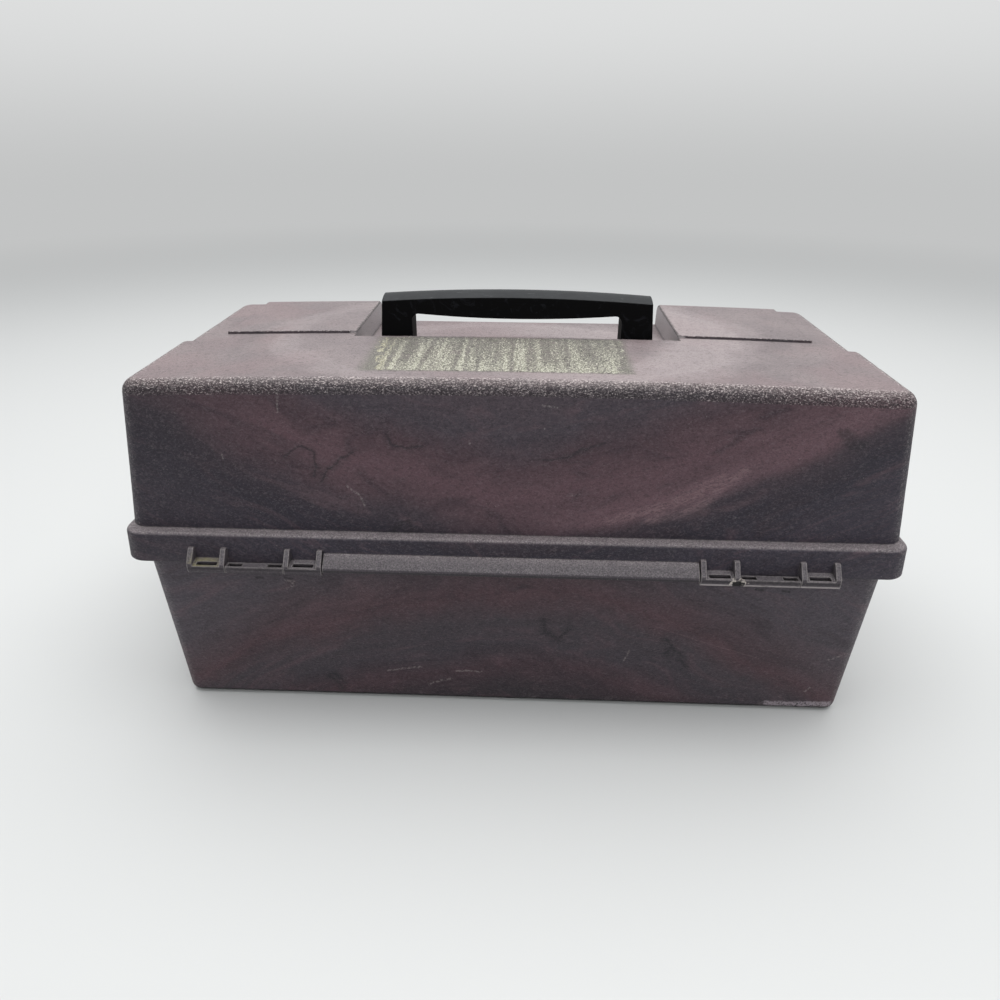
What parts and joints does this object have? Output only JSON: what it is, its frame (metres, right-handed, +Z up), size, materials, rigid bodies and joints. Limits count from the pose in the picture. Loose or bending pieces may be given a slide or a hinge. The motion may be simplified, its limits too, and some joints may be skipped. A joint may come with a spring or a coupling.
{
  "type": "tackle box",
  "caption": "Moulded plastic tackle box with a back-hinged lid, folding top handle, front latch and stepped trays on swinging arms.",
  "frame": {"origin": "middle of the base's underside, on the surface that the box stands on", "axes": "+Z up, +X along the box's length, -Y towards the latch side and +Y towards the hinge side"},
  "size_m": [0.4298, 0.2235, 0.2344],
  "materials": {
    "shell_plastic": "swirled maroon and charcoal, leather grain",
    "handle_plastic": "satin black",
    "latch_plastic": "satin black",
    "tray_plastic": "smooth, matte",
    "divider_plastic": "smooth, matte",
    "steel": "zinc plated"
  },
  "bodies": {
    "base": {"base_tub": "shell_plastic", "rear_arm_rivet_right": "steel", "front_arm_rivet_right": "steel", "rear_arm_rivet_left": "steel", "front_arm_rivet_left": "steel"},
    "lid": {"lid_shell": "shell_plastic", "latch_pin": "steel", "hinge_pin_right": "steel", "handle_pin_right": "steel", "link_rivet_right": "steel", "hinge_pin_left": "steel", "handle_pin_left": "steel", "link_rivet_left": "steel"},
    "handle": {"handle": "handle_plastic"},
    "latch": {"latch": "latch_plastic"},
    "rear_arms": {"rear_arm_right": "steel", "crank_rivet_right": "steel", "rear_arm_left": "steel", "crank_rivet_left": "steel"},
    "front_arms": {"front_arm_right": "steel", "front_arm_left": "steel"},
    "lid_links": {"lid_link_right": "steel", "lid_link_left": "steel"},
    "low_tray": {"low_tray": "tray_plastic", "low_tray_rear_rivet_right": "steel", "low_tray_front_rivet_right": "steel", "low_tray_rear_rivet_left": "steel", "low_tray_front_rivet_left": "steel", "low_tray_divider_1": "divider_plastic", "low_tray_divider_2": "divider_plastic", "low_tray_divider_3": "divider_plastic"},
    "middle_tray": {"middle_tray": "tray_plastic", "middle_tray_rear_rivet_right": "steel", "middle_tray_front_rivet_right": "steel", "middle_tray_rear_rivet_left": "steel", "middle_tray_front_rivet_left": "steel", "middle_tray_divider_1": "divider_plastic", "middle_tray_divider_2": "divider_plastic", "middle_tray_divider_3": "divider_plastic", "middle_tray_divider_4": "divider_plastic"},
    "top_tray": {"top_tray": "tray_plastic", "top_tray_rear_rivet_right": "steel", "top_tray_front_rivet_right": "steel", "top_tray_rear_rivet_left": "steel", "top_tray_front_rivet_left": "steel", "top_tray_divider_1": "divider_plastic", "top_tray_divider_2": "divider_plastic", "top_tray_divider_3": "divider_plastic", "top_tray_divider_4": "divider_plastic", "top_tray_divider_5": "divider_plastic"}
  },
  "joints": [
    {"name": "lid_hinge", "type": "hinge", "parent": "base", "child": "lid", "pos_m": [0, 0.107, 0.1065], "axis": [-1, 0, 0], "range_deg": [0, 100]},
    {"name": "handle_fold", "type": "hinge", "parent": "lid", "child": "handle", "pos_m": [0, -0.0107, 0.2018], "axis": [1, 0, 0], "range_deg": [0, 90]},
    {"name": "latch_swing", "type": "hinge", "parent": "lid", "child": "latch", "pos_m": [0, -0.1075, 0.1228], "axis": [-1, 0, 0], "range_deg": [0, 120]},
    {"name": "rear_arm_swing", "type": "hinge", "parent": "base", "child": "rear_arms", "pos_m": [0, 0.07396, 0.1035], "axis": [-1, 0, 0], "range_deg": [0, 80]},
    {"name": "front_arm_swing", "type": "hinge", "parent": "base", "child": "front_arms", "pos_m": [0, 0.03358, 0.1035], "axis": [-1, 0, 0], "range_deg": [0, 80]},
    {"name": "lid_link_swing", "type": "hinge", "parent": "lid", "child": "lid_links", "pos_m": [0, 0.0819, 0.1265], "axis": [-1, 0, 0], "range_deg": [-98.9, 0]},
    {"name": "low_tray_level", "type": "hinge", "parent": "rear_arms", "child": "low_tray", "pos_m": [0, 0.0472, 0.12294], "axis": [-1, 0, 0], "range_deg": [-80, 0]},
    {"name": "middle_tray_level", "type": "hinge", "parent": "rear_arms", "child": "middle_tray", "pos_m": [0, 0.01004, 0.14994], "axis": [-1, 0, 0], "range_deg": [-80, 0]},
    {"name": "top_tray_level", "type": "hinge", "parent": "rear_arms", "child": "top_tray", "pos_m": [0, -0.02712, 0.17694], "axis": [-1, 0, 0], "range_deg": [-80, 0]}
  ],
  "couplings": [
    {"joint": "rear_arm_swing", "follows": "lid_hinge", "ratio": 0.8},
    {"joint": "front_arm_swing", "follows": "lid_hinge", "ratio": 0.8},
    {"joint": "lid_link_swing", "follows": "lid_hinge", "ratio": -0.989},
    {"joint": "low_tray_level", "follows": "lid_hinge", "ratio": -0.8},
    {"joint": "middle_tray_level", "follows": "lid_hinge", "ratio": -0.8},
    {"joint": "top_tray_level", "follows": "lid_hinge", "ratio": -0.8}
  ]
}
